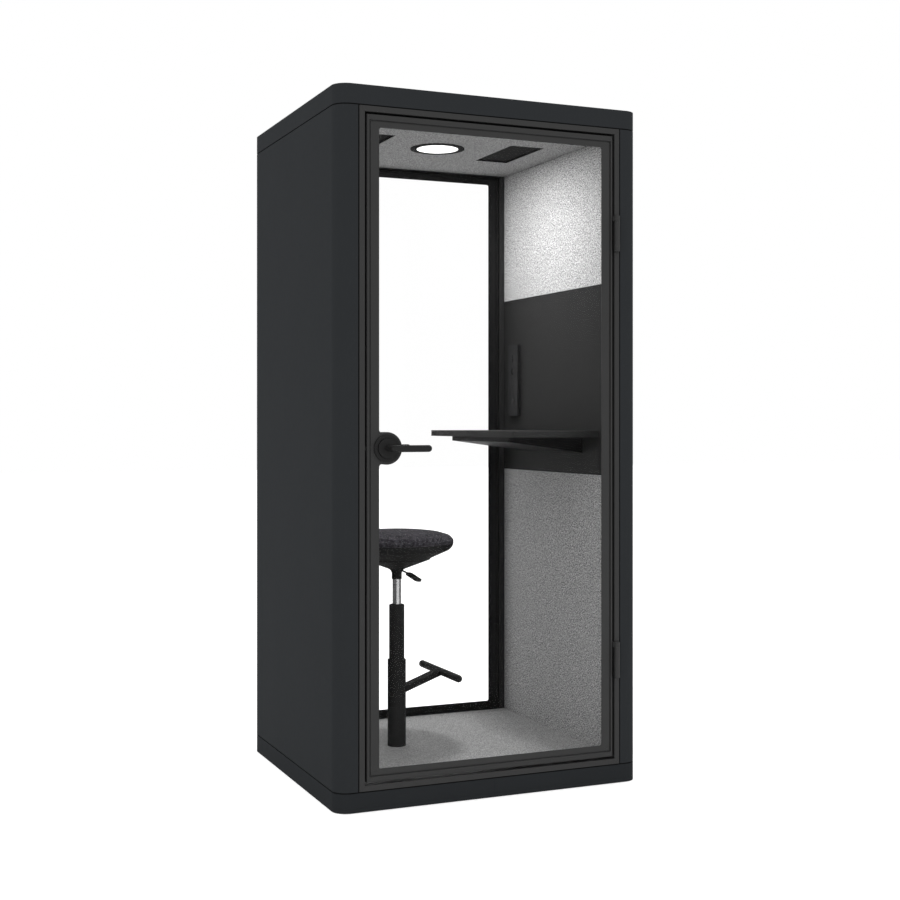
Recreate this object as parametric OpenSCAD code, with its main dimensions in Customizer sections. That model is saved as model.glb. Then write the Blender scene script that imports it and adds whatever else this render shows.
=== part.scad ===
// Acoustic office pod for one person: a lined cabin with a glazed door on its front,
// a fixed window at the rear, a wall table and a height adjustable stool.
// Origin: centre of the footprint on the floor. +X right, +Y to the rear, +Z up.

/* [Cabin] */
// Width across the side walls
pod_w = 1092; // [1000:2:1300]
// Depth from the door face to the rear face
pod_d = 972; // [940:2:1200]
// Height from the floor to the top of the roof
pod_h = 2300; // [2200:10:2400]
// Radius of the four upright corners
corner_r = 50; // [20:1:60]
// Thickness of a side wall
wall_t = 74; // [70:1:90]
// Height of the plinth
plinth_h = 65; // [55:1:80]
// Height of the roof cap
roof_h = 64; // [60:1:90]
// Height of the dark seams above the plinth and below the roof
seam_h = 4; // [2:0.5:6]
// How far the seams lie back from the faces
seam_deep = 5; // [3:0.5:8]
// Height of the carpet above the top of the plinth
floor_rise = 19; // [17:1:30]
// Depth of the ceiling below the roof seam
ceiling_drop = 17; // [14:1:30]

/* [Panels] */
// Sheet thickness of the side shells and the roof cap
skin_t = 2; // [1.5:0.5:3]
// Thickness of the plinth skirt
skirt_t = 12; // [8:1:20]
// Thickness of the felt wall panels
felt_t = 12; // [9:1:20]
// Thickness of the carpet
carpet_t = 6; // [4:1:8]
// Height of the bottom edge of the dark wall panel
media_z0 = 1047; // [1000:1:1080]
// Height of the top edge of the dark wall panel
media_z1 = 1717; // [1600:1:1900]

/* [Door] */
// Depth of the door frame and of the rear frame
frame_d = 57; // [54:1:70]
// Width of the fixed jamb on each side
jamb_w = 18; // [15:1:25]
// Gap between the jamb and the door at the sides
door_gap = 7; // [5:0.5:9]
// Gap between the sill and the door
sill_gap = 8; // [5:0.5:12]
// Thickness of the door leaf
leaf_t = 45; // [44:1:48]
// Width of the outer band on the door stiles
band_side = 8; // [6:1:15]
// Width of the outer band on the door rails
band_end = 18; // [10:1:30]
// Width of the groove between the band and the glazing bead
groove_w = 5; // [3:0.5:8]
// Width of the glazing bead on the stiles
bead_side = 29; // [24:1:40]
// Width of the glazing bead on the rails
bead_end = 18; // [16:1:30]
// Thickness of the glass
glass_t = 10; // [8:1:12]
// Height of the door handle
lock_z = 1150; // [1100:5:1250]
// Length of the lever grip from its spindle
lever_l = 126; // [110:1:150]
// Height of one hinge barrel
barrel_h = 122; // [100:1:140]
// Distance of the lower hinge above the foot of the door frame
hinge_low_in = 295; // [200:1:400]
// Distance of the upper hinge below the head of the door frame
hinge_high_in = 297; // [200:1:400]

/* [Table] */
// Height of the table top
table_z = 1202; // [1100:1:1250]
// Thickness of the table top
table_t = 22; // [16:1:30]
// Reach of the table from the wall
table_reach = 333; // [280:1:380]
// Gap between the table and the door frame
table_front_gap = 90; // [40:1:160]
// Gap between the table and the rear frame
table_rear_gap = 34; // [10:1:100]
// Reach of the wedge bracket from the wall
bracket_reach = 294; // [240:1:330]
// Length of the wedge bracket along the wall
bracket_l = 497; // [400:1:560]

/* [Stool] */
// Distance of the column to the left of the middle
stool_off = 157; // [100:1:180]
// Outer radius of the lower tube
tube_r = 32.5; // [30:0.5:36]
// Height of the top of the lower tube
tube_low_z = 390; // [370:1:420]
// Height of the top of the upper tube
tube_top_z = 584; // [560:1:600]
// Radius of the chrome pressure tube
lift_r = 15.5; // [13:0.5:17]
// Height of the underside of the seat hub
hub_z = 676; // [670:1:685]
// Radius of the seat rim
seat_r = 203; // [170:1:230]
// Height of the seat rim
rim_z = 804; // [795:1:820]
// Height of the top of the cushion
crown_z = 852; // [845:1:880]
// Radius of the footrest bar
rest_r = 13; // [10:0.5:15]
// Length of the footrest bar
rest_l = 360; // [300:2:420]

/* [Lamp and vents] */
// Outer radius of the lamp ring
lamp_r = 97.5; // [90:0.5:110]
// Radius of the lamp's diffuser
diffuser_r = 74.5; // [60:0.5:80]
// Width of a ceiling vent
vent_w = 130; // [126:1:150]
// Length of a ceiling vent
vent_l = 310; // [240:1:340]
// Distance of each vent's middle from the middle of the pod
vent_off = 286; // [270:1:300]

/* [Hidden] */
$fn = 96;

// Shared clearances
over = 1;            // overrun of a cut past the face that it opens
hair = 0.3;          // hairline joint between parts that meet
run = 0.05;          // radial clearance of a running fit
mitre_share = 0.3;   // part of a mitre's length by which its cut runs on

// Cabin heights and faces
plinth_z = plinth_h - seam_h / 2;
wall_z0 = plinth_h + seam_h / 2;
wall_z1 = pod_h - roof_h - seam_h / 2;
roof_z0 = wall_z1 + seam_h;
floor_z = plinth_h + floor_rise;
deck_z = floor_z - carpet_t;
ceiling_z = pod_h - roof_h - ceiling_drop;
inner_x = pod_w / 2 - wall_t;
front_y = -pod_d / 2;
lining_y = pod_d / 2 - frame_d;

// Feet and floor
skirt_lift = 2;      // daylight under the skirt
foot_pad_r = 22;
foot_pad_h = 6;
foot_stem_r = 6;
foot_stem_l = 36;
foot_inset = 75;     // distance of a foot from both outer faces
slab_lift = 12;      // height of the underside of the floor slab
carpet_strip_w = 35; // width of the carpet's strip along the rear frame
carpet_seam = 1.5;
lining_gap = 1.5;    // shadow gap between the linings and the ceiling

// Joint between the side posts and the jambs
joint_w = 4;
joint_recess = 6;
joint_seal_t = 10;
post_x = inner_x + joint_w / 2;
jamb_x = inner_x - joint_w / 2;

// Door frame
stop_w = 16;         // how far the door stop stands in from the jamb
stop_t = 8;
seal_w = 6;
jamb_in_x = jamb_x - jamb_w;
jamb_in_z0 = wall_z0 + jamb_w;
jamb_in_z1 = wall_z1 - jamb_w;
leaf_x = jamb_in_x - door_gap;
leaf_z0 = jamb_in_z0 + sill_gap;
leaf_z1 = jamb_in_z1 - door_gap;
leaf_back_y = front_y + leaf_t;

// Glazed frames, measured back from the face that carries the bead
bead_recess = 2;
bead_t = 3;
groove_deep = bead_recess + bead_t;
gasket_t = 2;
gasket_in = 1;       // how far the gasket's lips stay behind the bead's inner edge
splay_in = 10;       // how far the frame behind the glass starts out from the bead's edge
splay_out = 26;      // how far it stands out from it at the back
glass_bite = 13;     // how far the glass runs under the bead
leaf_edge_r = 4;
corner_in_r = 7;     // inner corners of the bead
flange_y = groove_deep + gasket_t + glass_t + gasket_t;
rear_gap = 3;        // gap round the rear sash at its top and foot
rear_band_end = 8;
sash_z0 = jamb_in_z0 + rear_gap;
sash_z1 = jamb_in_z1 - rear_gap;

// Door lock and levers
case_r = 52;
case_core_r = 44;
case_fillet_r = 10;
glass_notch_gap = 1.5;
lock_in = 26;        // spindle's distance past the bead's inner edge, over the glass
rose_r = 44;
rose_t = 7;
rose_hub_r = 32;
rose_hub_t = 12;
rose_groove = 1;
neck_r = 10;
lever_r = 11;
lever_out = 69;      // distance of the grip's axis from the door faces
spindle_w = 8;
spindle_fit = 0.1;
spindle_room = 13;   // bore in the lock case in which the spindle turns
bolt_h = 15;
bolt_w = 12;
bolt_l = 40;
bolt_throw = 14;     // how far the bolt draws back
bolt_short = 0.6;    // gap from the bolt's nose to the strike plate
strike_h = 67;
strike_w = 28;
strike_t = 2;
lock_x = -(leaf_x - band_side - groove_w - bead_side) + lock_in;
bolt_y = front_y + leaf_t / 2;

// Hinges
barrel_r = 9.8;
hinge_proud = 6;     // distance of the hinge axis in front of the door face
hinge_pin_r = 4;
knuckle_h = 17;      // height of the door's own knuckle
knuckle_gap = 0.5;
pin_end = 5;         // metal left over the pin in the door's knuckle
hinge_x = jamb_x - 12;
hinge_y = front_y - hinge_proud;
arm_t = 4.5;
arm_back = 4;        // how far the arm ends short of the leaf's back
tongue_w = 6;
tongue_l = 26;
tongue_margin = 12;
hinge_zs = [wall_z0 + hinge_low_in, wall_z1 - hinge_high_in - barrel_h];

// Table
table_l = 2 * lining_y - table_front_gap - table_rear_gap;
table_mid_y = (table_front_gap - table_rear_gap) / 2;
table_corner_r = 3;
table_x = inner_x - table_reach;
bracket_t = 3;
bracket_tip_h = 17;
bracket_wall_h = 56;
bracket_y = table_mid_y - bracket_l / 2;
bolt_rows = [0.2, 0.8];
wall_bolt_r = 5;
wall_bolt_l = 30;
wall_bolt_head_h = 5;
wall_bolt_head_r = 8;

// Stool
stool_x = -stool_off;
stool_flange_r = 70;
stool_flange_t = 8;
flange_bolt_pcd_r = 52;
flange_bolt_r = 4;
flange_bolt_l = 40;
upper_clear = 0.3;
upper_r = 27.2;
tube_wall = 3.3;
upper_overlap = 100;
tube_floor_t = 8;
bush_t = 30;
bush_lip = 2;
bearing_r = 13;
bearing_t = 8;
rod_r = 5;
rod_clear = 0.3;
piston_t = 12;
gas_wall = 3;
gas_end_t = 12;
gas_foot_z = 420;    // height of the pressure tube's lower end
gas_in_hub = 36;     // length of the pressure tube inside the hub
piston_z = 500;
neck_out_r = 18;
neck_fillet_r = 20;  // fillet from the hub's neck into the seat's underside
hub_r = 45;
hub_plate_r = 60;
hub_plate_t = 5;
plate_rise = 20.8;   // slope of the seat's underside up to the step, in degrees
step_r = 121;        // radius of the step round the seat shell
step_in = 2;
step_drop = 4.8;     // height of the step
shell_rise = 24.2;   // slope of the seat shell beyond the step, in degrees
shell_t = 4;
rim_round_r = 36;    // radius of the shell's rounded rim
belly_up = 7;        // height of the widest line above the rim
board_t = 12;
board_gap = 0.5;
shoulder_r = 27;     // radius of the cushion's side
belly_z = rim_z + belly_up;
crown_flat = 0.25;  // height that the dome loses where it is flattened on top
round_c = [seat_r - rim_round_r, belly_z];
cone_top = round_c + rim_round_r * [sin(shell_rise), -cos(shell_rise)];
step_z = cone_top.y - (cone_top.x - step_r) * tan(shell_rise);
flare_r = neck_out_r + neck_fillet_r * (1 - sin(plate_rise));
flare_z = plate_z(flare_r);
neck_z = flare_z - neck_fillet_r * cos(plate_rise);
plate_lift = shell_t / cos(plate_rise) + hair;
screw_z = 341;
screw_r = 3;
screw_turn = -111;   // direction in which the set screw faces
arm_z0 = 275;        // height of the footrest arm's middle at the column's axis
arm_z1 = 336;        // height of the footrest bar
arm_reach = 167;     // distance of the footrest bar from the column's axis
arm_w = 46;          // the arm is a flat bar
arm_h = 20;
arm_edge_r = 3;
handle_turn = -78;   // direction of the height lever
handle_z = 711;
handle_rod_r = 3;
handle_rod_l = 75;
handle_drop = 10;    // how far the rod drops along its length
handle_pin_r = 3;
handle_pin_l = 12;
handle_pin_x = lift_r + gas_wall + handle_pin_r;
paddle_l = 80;
paddle_w = 26;
paddle_t = 6;
paddle_drop = 22;

// Power strip
strip_in = 106;      // distance of the strip's middle from the rear frame
strip_y = lining_y - strip_in;
strip_w = 83;
strip_z0 = 1258;
strip_z1 = 1538;
strip_t = 14;
strip_r = 4;
strip_x = inner_x - strip_t;
button_r = 7;
button_out = 2.5;
button_l = 9;
button_back = 2.5;   // free depth behind a button
light_z = 1373;
fan_z = 1318;
button_clear = 0.3;
outlet_z = 1434;
outlet_r = 17;
outlet_deep = 6;
outlet_pitch = 19;
outlet_hole_r = 2.4;
outlet_well_r = 14;
outlet_well = 3;
usb_z = 1483;
usb_w = 16;
usb_h = 34;
usb_slot_w = 5;
usb_slot_h = 12;
usb_slot_deep = 4;

// Lamp, vents and fans
lamp_ring_t = 3;
lamp_can_r = 86;
lamp_can_h = 40;
lamp_wall = 3;
lamp_clear = 0.5;
diffuser_lip = 5;
diffuser_t = 3;
diffuser_set = 0.5;
grille_wall = 2;
grille_h = 15;
grille_sheet_t = 1.5;
grille_sheet_up = 9; // height of the slotted sheet inside the collar
grille_slot_w = 6;
grille_slot_gap = 5;
grille_slot_in = 6;  // margin round the slots
fan_w = 120;
fan_h = 25;
fan_bore_r = 57;
fan_corner_r = 6;
fan_hub_r = 19;
fan_stator_r = 17;
fan_stator_t = 5;
fan_strut_w = 6;
fan_axle_r = 2.5;
fan_axle_l = 18;
fan_tip_r = 54;
fan_blade_t = 1.6;
fan_blade_w = 20;
fan_blade_tilt = 40;
fan_blades = 7;
rotor_h = 16;
rotor_gap = 1;
roof_lip = 18;       // width of the lip at the foot of the roof cap
slot_count = 6;
louvre_w = 6;
louvre_l = 96;
louvre_pitch = 15;

// Colours
charcoal = "#35383a";
graphite = "#2a2c2d";
soft_black = "#1c1d1e";
felt_grey = "#8c8c8a";
chrome = "#c9ccd0";
steel = "#9a9da0";
glass_tint = [0.75, 0.82, 0.84, 0.3];
opal = "#f5f5f2";
melange = "#454148";
board = "#b7a58a";
wool = "#6f6a55";

// Flat shapes

// Rectangle with true arcs at its corners, centred
module rounded(w, d, r) {
    square([w - 2 * r, d], center = true);
    square([w, d - 2 * r], center = true);
    for (sx = [-1, 1], sy = [-1, 1])
        translate([sx * (w / 2 - r), sy * (d / 2 - r)])
            circle(r);
}

// Upright rectangle from -x to x and from z0 to z1
module pane2d(x, z0, z1, r = 0) {
    translate([0, (z0 + z1) / 2])
        if (r > 0)
            rounded(2 * x, z1 - z0, r);
        else
            square([2 * x, z1 - z0], center = true);
}

// Upright ring with its own widths at the sides and at the ends
module ring2d(x, z0, z1, side, end, r = 0) {
    difference() {
        pane2d(x, z0, z1);
        pane2d(x - side, z0 + end, z1 - end, r);
    }
}

// Hairline cuts from the outer to the inner corners of a ring
function mitre(c, d, n) = [c - mitre_share * d + n, c + (1 + mitre_share) * d + n,
    c + (1 + mitre_share) * d - n, c - mitre_share * d - n];

module mitres2d(x, z0, z1, side, end) {
    for (sx = [-1, 1], top = [0, 1]) {
        corner = [sx * x, top == 1 ? z1 : z0];
        inward = [-sx * side, top == 1 ? -end : end];
        half = [-inward.y, inward.x] / norm(inward) * hair / 2;
        polygon(mitre(corner, inward, half));
    }
}

// Region of a floor plan on one side of the cabin, beyond a distance from the middle
module beyond2d(x, sign) {
    translate([sign * (x + pod_w / 2), 0])
        square([pod_w, 2 * pod_d], center = true);
}

// Sharp corner left outside a rounded edge: x points outwards and y inwards
module edge_waste2d(r) {
    difference() {
        translate([-r, -over])
            square([r + over, r + over]);
        translate([-r, r])
            circle(r);
    }
}

// Rise of an arc of radius r over the straight line between p and q
function arc_rise(p, q, r) = r - sqrt(r * r - pow(norm(q - p), 2) / 4);

// Arc segment standing out by sag from the straight line between p and q, on its left.
// It laps over what lies on the right.
module bulge2d(p, q, sag) {
    chord = norm(q - p);
    r = (chord * chord / 4 + sag * sag) / (2 * sag);
    turn = atan2(q.y - p.y, q.x - p.x);
    top = sag + over;
    translate(p)
        rotate(turn)
            intersection() {
                translate([chord / 2, sag - r])
                    circle(r);
                polygon([[0, 0], [0, top], [chord, top], [chord, 0], [chord - over, -over],
                    [over, -over]]);
            }
}

// Solids from flat shapes

// Stands a flat x-z shape up between two depths
module upright(y0, y1) {
    translate([0, y1, 0])
        rotate([90, 0, 0])
            linear_extrude(y1 - y0)
                children();
}

// Stands a flat y-z shape up between two distances from the middle
module wall_slab(x0, x1) {
    translate([x0, 0, 0])
        rotate([90, 0, 90])
            linear_extrude(x1 - x0)
                children();
}

// Lays a flat x-y shape between two heights
module level(z0, z1) {
    translate([0, 0, z0])
        linear_extrude(z1 - z0)
            children();
}

// Cylinder along X that ends at x1
module pin_x(x0, x1, r) {
    translate([x0, 0, 0])
        rotate([0, 90, 0])
            cylinder(r = r, h = x1 - x0);
}

// Cabin

module plinth_skirt() {
    color(charcoal)
        level(skirt_lift, plinth_z)
            difference() {
                rounded(pod_w, pod_d, corner_r);
                rounded(pod_w - 2 * skirt_t, pod_d - 2 * skirt_t, corner_r - skirt_t);
                square([2 * pod_w, hair], center = true);
                square([hair, 2 * pod_d], center = true);
            }
}

// Four feet near the corners and one under the middle of the floor
module at_feet() {
    children();
    for (sx = [-1, 1], sy = [-1, 1])
        translate([sx * (pod_w / 2 - foot_inset), sy * (pod_d / 2 - foot_inset), 0])
            children();
}

module levelling_feet() {
    color(steel)
        at_feet()
            union() {
                cylinder(r = foot_pad_r, h = foot_pad_h);
                cylinder(r = foot_stem_r, h = foot_pad_h + foot_stem_l);
            }
}

module floor_slab() {
    inset = skirt_t + hair;
    color(soft_black)
        difference() {
            union() {
                level(slab_lift, plinth_z)
                    rounded(pod_w - 2 * inset, pod_d - 2 * inset, corner_r - inset);
                level(plinth_z, wall_z0)
                    rounded(pod_w - 2 * seam_deep, pod_d - 2 * seam_deep, corner_r - seam_deep);
                level(wall_z0, deck_z)
                    square([2 * inner_x, 2 * (lining_y - hair)], center = true);
            }
            at_feet()
                cylinder(r = foot_stem_r + hair, h = foot_pad_h + foot_stem_l + hair);
            translate([stool_x, 0, deck_z - stool_flange_t])
                cylinder(r = stool_flange_r + hair, h = stool_flange_t + over);
            flange_bolt_holes();
        }
}

module floor_carpet() {
    seam_y = lining_y - carpet_strip_w;
    color(felt_grey)
        difference() {
            level(deck_z, floor_z)
                square([2 * (inner_x - hair), 2 * (lining_y - hair)], center = true);
            translate([stool_x, 0, deck_z - over])
                cylinder(r = tube_r + hair, h = carpet_t + 2 * over);
            level(deck_z - over, floor_z + over)
                translate([0, seam_y])
                    square([2 * pod_w, carpet_seam], center = true);
        }
}

// Folded sheet: flat side, rounded corners and the posts that return towards the frames
module side_shell(sign) {
    color(charcoal)
        level(wall_z0, wall_z1)
            difference() {
                intersection() {
                    rounded(pod_w, pod_d, corner_r);
                    beyond2d(post_x, sign);
                }
                intersection() {
                    rounded(pod_w - 2 * skin_t, pod_d - 2 * skin_t, corner_r - skin_t);
                    beyond2d(post_x + skin_t, sign);
                }
                translate([sign * post_x, 0])
                    square([2 * (skin_t + over), 2 * lining_y], center = true);
            }
}

module side_shell_left() {
    side_shell(-1);
}

module side_shell_right() {
    side_shell(1);
}

// Sound absorbing filling of both side walls
module wall_cores() {
    in = skin_t + hair;
    color(wool)
        difference() {
            for (sign = [-1, 1])
                level(wall_z0, wall_z1)
                    intersection() {
                        rounded(pod_w - 2 * in, pod_d - 2 * in, corner_r - in);
                        beyond2d(inner_x + felt_t, sign);
                    }
            wall_bolt_holes();
        }
}

module lining(sign, z0, z1) {
    level(z0, z1)
        translate([sign * (inner_x + felt_t / 2), 0])
            square([felt_t, 2 * (lining_y - hair)], center = true);
}

module felt_left() {
    color(felt_grey)
        lining(-1, wall_z0, ceiling_z - lining_gap);
}

module felt_right_upper() {
    color(felt_grey)
        lining(1, media_z1 + hair, ceiling_z - lining_gap);
}

module felt_right_lower() {
    color(felt_grey)
        lining(1, wall_z0, media_z0 - hair);
}

module media_panel() {
    color(graphite)
        difference() {
            lining(1, media_z0, media_z1);
            wall_bolt_holes();
        }
}

module at_vents() {
    for (sx = [-1, 1])
        translate([sx * vent_off, 0])
            children();
}

module roof_deck() {
    color(soft_black)
        level(wall_z1, roof_z0)
            difference() {
                rounded(pod_w - 2 * seam_deep, pod_d - 2 * seam_deep, corner_r - seam_deep);
                circle(lamp_can_r + lamp_clear);
                at_vents()
                    circle(fan_bore_r);
            }
}

// Sheet lid with a lip folded in at its foot, which rests on the roof deck
module roof_cap() {
    color(charcoal)
        difference() {
            level(roof_z0, pod_h)
                rounded(pod_w, pod_d, corner_r);
            level(roof_z0 + skin_t, pod_h - skin_t)
                rounded(pod_w - 2 * skin_t, pod_d - 2 * skin_t, corner_r - skin_t);
            level(roof_z0 - over, roof_z0 + skin_t + over)
                rounded(pod_w - 2 * roof_lip, pod_d - 2 * roof_lip, corner_r - roof_lip);
            for (i = [0 : slot_count - 1])
                translate([0, (i - (slot_count - 1) / 2) * louvre_pitch, pod_h - skin_t - over])
                    linear_extrude(skin_t + 2 * over)
                        at_vents()
                            square([louvre_l, louvre_w], center = true);
        }
}

module ceiling_panel() {
    color(felt_grey)
        level(ceiling_z, wall_z1)
            difference() {
                square([2 * (inner_x + felt_t - hair), 2 * (lining_y - hair)], center = true);
                circle(lamp_can_r + lamp_clear);
                at_vents()
                    square([vent_w + hair, vent_l + hair], center = true);
            }
}

// Door frame and rear frame

module jamb_ring(y0, y1) {
    upright(y0, y1)
        ring2d(jamb_x, wall_z0, wall_z1, jamb_w, jamb_w);
}

module jamb_mitres(y0, y1, side) {
    upright(y0 - over, y1 + over)
        mitres2d(jamb_x, wall_z0, wall_z1, side, side);
}

// Stop that the door closes against, on both stiles and under the head
module door_stop() {
    upright(-lining_y - stop_t, -lining_y)
        difference() {
            ring2d(jamb_x, wall_z0, wall_z1, jamb_w + stop_w, jamb_w + stop_w);
            pane2d(jamb_in_x, 0, jamb_in_z0 + stop_w);
        }
    upright(-lining_y - stop_t, -lining_y)
        difference() {
            pane2d(jamb_in_x, jamb_in_z0, jamb_in_z0 + stop_w);
            pane2d(jamb_in_x - stop_w, 0, jamb_in_z0 + stop_w + over);
        }
}

module door_jamb() {
    color(graphite)
        difference() {
            union() {
                jamb_ring(front_y, -lining_y);
                door_stop();
            }
            jamb_mitres(front_y, -lining_y, jamb_w + stop_w);
            for (z = hinge_zs) {
                translate([hinge_x, hinge_y, z - hair])
                    cylinder(r = barrel_r + hair, h = barrel_h + 2 * hair);
                translate([hinge_x - tongue_w / 2 - hair, hinge_y, z + tongue_margin - hair])
                    cube([tongue_w + 2 * hair, tongue_l + hair,
                        barrel_h - knuckle_h - 2 * tongue_margin + 2 * hair]);
            }
            strike_space(hair);
        }
}

module strike_space(c) {
    translate([-jamb_in_x - strike_t - c, bolt_y - strike_w / 2 - c, lock_z - strike_h / 2 - c])
        cube([strike_t + c + over, strike_w + 2 * c, strike_h + 2 * c]);
}

module strike_plate() {
    mouth_w = bolt_w + 2 * over;
    mouth_h = bolt_h + 2 * over;
    color(soft_black)
        difference() {
            translate([-jamb_in_x - strike_t, bolt_y - strike_w / 2, lock_z - strike_h / 2])
                cube([strike_t, strike_w, strike_h]);
            translate([-jamb_in_x - strike_t / 2, bolt_y - mouth_w / 2, lock_z - mouth_h / 2])
                cube([strike_t, mouth_w, mouth_h]);
        }
}

// Strips that close the joints beside both jambs, and the bulb seal on the door stop
module wall_seals() {
    stop_y = -lining_y - stop_t;
    seal_mid = (stop_w - seal_w) / 2;
    color(soft_black) {
        for (sx = [-1, 1], sy = [-1, 1])
            level(wall_z0, wall_z1)
                translate([sx * inner_x, sy * (pod_d / 2 - joint_recess - joint_seal_t / 2)])
                    square([joint_w, joint_seal_t], center = true);
        upright(leaf_back_y + hair, stop_y)
            difference() {
                ring2d(jamb_in_x - seal_mid, jamb_in_z0 - stop_w, jamb_in_z1 - seal_mid, seal_w, seal_w);
                pane2d(jamb_x, 0, jamb_in_z0);
                mitres2d(jamb_in_x - seal_mid, jamb_in_z0 - stop_w, jamb_in_z1 - seal_mid, seal_w, seal_w);
            }
    }
}

module rear_jamb() {
    color(soft_black)
        difference() {
            jamb_ring(lining_y, pod_d / 2);
            jamb_mitres(lining_y, pod_d / 2, jamb_w);
        }
}

// Glazed frames. face_y is the plane that carries the bead, and side and end are the bands.

// How far the frame behind the glass stands out from the bead's inner edge at the depth y
function splay(y) = splay_in + (y - flange_y) * (splay_out - splay_in) / (leaf_t - flange_y);

// Opening behind the glass, which widens towards the back. x, z0 and z1 are the bead's edges.
module splayed_opening(face_y, x, z0, z1) {
    y0 = flange_y - over;
    y1 = leaf_t + over;
    far = splay_out + over;
    translate([0, face_y, 0])
        intersection() {
            level(z0 - far, z1 + far)
                polygon([[x + splay(y0), y0], [x + splay(y1), y1],
                    [-x - splay(y1), y1], [-x - splay(y0), y0]]);
            wall_slab(-x - far, x + far)
                polygon([[y0, z0 - splay(y0)], [y1, z0 - splay(y1)],
                    [y1, z1 + splay(y1)], [y0, z1 + splay(y0)]]);
        }
}

module frame_layers(face_y, x, z0, z1, side, end) {
    all_side = side + groove_w + bead_side;
    all_end = end + groove_w + bead_end;
    seat = gasket_t + glass_bite;
    difference() {
        union() {
            upright(face_y, face_y + groove_deep)
                ring2d(x, z0, z1, side, end);
            upright(face_y + groove_deep, face_y + flange_y)
                ring2d(x, z0, z1, all_side - seat, all_end - seat);
            upright(face_y + flange_y, face_y + leaf_t)
                pane2d(x, z0, z1);
        }
        splayed_opening(face_y, x - all_side, z0 + all_end, z1 - all_end);
        upright(face_y - over, face_y + leaf_t + over)
            mitres2d(x, z0, z1, all_side, all_end);
    }
}

module bead_ring(face_y, x, z0, z1, side, end) {
    outer_x = x - side - groove_w;
    outer_z0 = z0 + end + groove_w;
    outer_z1 = z1 - end - groove_w;
    upright(face_y + bead_recess, face_y + bead_recess + bead_t)
        difference() {
            ring2d(outer_x, outer_z0, outer_z1, bead_side, bead_end, corner_in_r);
            mitres2d(outer_x, outer_z0, outer_z1, bead_side, bead_end);
        }
}

module glass_pane(face_y, x, z0, z1, side, end) {
    glass_y = face_y + groove_deep + gasket_t;
    upright(glass_y, glass_y + glass_t)
        pane2d(x - side - groove_w - bead_side + glass_bite, z0 + end + groove_w + bead_end - glass_bite,
            z1 - end - groove_w - bead_end + glass_bite);
}

// Rubber that wraps the glass: a wide lip under the bead and a narrow one behind the glass
module gasket_ring(face_y, x, z0, z1, side, end) {
    out = glass_bite + gasket_t;
    gx = x - side - groove_w - bead_side + out;
    gz0 = z0 + end + groove_w + bead_end - out;
    gz1 = z1 - end - groove_w - bead_end + out;
    front_w = out - gasket_in;
    rear_w = out - splay_in;
    y0 = face_y + groove_deep;
    difference() {
        union() {
            upright(y0, y0 + gasket_t)
                ring2d(gx, gz0, gz1, front_w, front_w, corner_in_r + gasket_in);
            upright(y0 + gasket_t, y0 + gasket_t + glass_t)
                ring2d(gx, gz0, gz1, gasket_t, gasket_t);
            upright(y0 + gasket_t + glass_t, face_y + flange_y)
                ring2d(gx, gz0, gz1, rear_w, rear_w);
        }
        upright(y0 - over, face_y + flange_y + over)
            mitres2d(gx, gz0, gz1, front_w, front_w);
    }
}

module rear_sash() {
    color(graphite)
        frame_layers(lining_y, leaf_x, sash_z0, sash_z1, band_side, rear_band_end);
}

module rear_bead() {
    color(graphite)
        bead_ring(lining_y, leaf_x, sash_z0, sash_z1, band_side, rear_band_end);
}

module rear_glass() {
    color(glass_tint)
        glass_pane(lining_y, leaf_x, sash_z0, sash_z1, band_side, rear_band_end);
}

// Glazing rubber of the rear window, and the strip that fills the gap round its sash
module rear_gasket() {
    fill_y = lining_y + joint_recess;
    color(soft_black) {
        gasket_ring(lining_y, leaf_x, sash_z0, sash_z1, band_side, rear_band_end);
        upright(fill_y, fill_y + joint_seal_t)
            difference() {
                ring2d(jamb_in_x, jamb_in_z0, jamb_in_z1, door_gap, rear_gap);
                mitres2d(jamb_in_x, jamb_in_z0, jamb_in_z1, door_gap, rear_gap);
            }
    }
}

// Door

module at_lock() {
    translate([lock_x, 0, lock_z])
        children();
}

// Room for the lock case through a layer of the door
module lock_hole(r) {
    at_lock()
        upright(front_y - over, leaf_back_y + over)
            circle(r);
}

// Latch bolt grown by a clearance, with room to draw back
module bolt_bar(c, room) {
    translate([-leaf_x - door_gap + bolt_short - c, bolt_y - bolt_w / 2 - c, lock_z - bolt_h / 2 - c])
        cube([bolt_l + room + 2 * c, bolt_w + 2 * c, bolt_h + 2 * c]);
}

module leaf_edge_waste() {
    l = 2 * leaf_x + 2 * over;
    for (sx = [0, 1])
        mirror([sx, 0, 0])
            translate([leaf_x, front_y, leaf_z0 - over])
                linear_extrude(leaf_z1 - leaf_z0 + 2 * over)
                    edge_waste2d(leaf_edge_r);
    translate([l / 2, front_y, leaf_z1])
        rotate([0, -90, 0])
            linear_extrude(l)
                edge_waste2d(leaf_edge_r);
    translate([l / 2, front_y, leaf_z0])
        mirror([0, 0, 1])
            rotate([0, -90, 0])
                linear_extrude(l)
                    edge_waste2d(leaf_edge_r);
}

module leaf_frame() {
    color(graphite)
        difference() {
            frame_layers(front_y, leaf_x, leaf_z0, leaf_z1, band_side, band_end);
            leaf_edge_waste();
            lock_hole(case_r + hair);
            bolt_bar(hair, bolt_throw);
        }
}

module glazing_bead() {
    color(graphite)
        difference() {
            bead_ring(front_y, leaf_x, leaf_z0, leaf_z1, band_side, band_end);
            lock_hole(case_r + hair);
        }
}

module door_glass() {
    color(glass_tint)
        difference() {
            glass_pane(front_y, leaf_x, leaf_z0, leaf_z1, band_side, band_end);
            lock_hole(case_core_r + glass_notch_gap);
        }
}

module door_gasket() {
    color(soft_black)
        difference() {
            gasket_ring(front_y, leaf_x, leaf_z0, leaf_z1, band_side, band_end);
            lock_hole(case_core_r + hair);
        }
}

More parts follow.
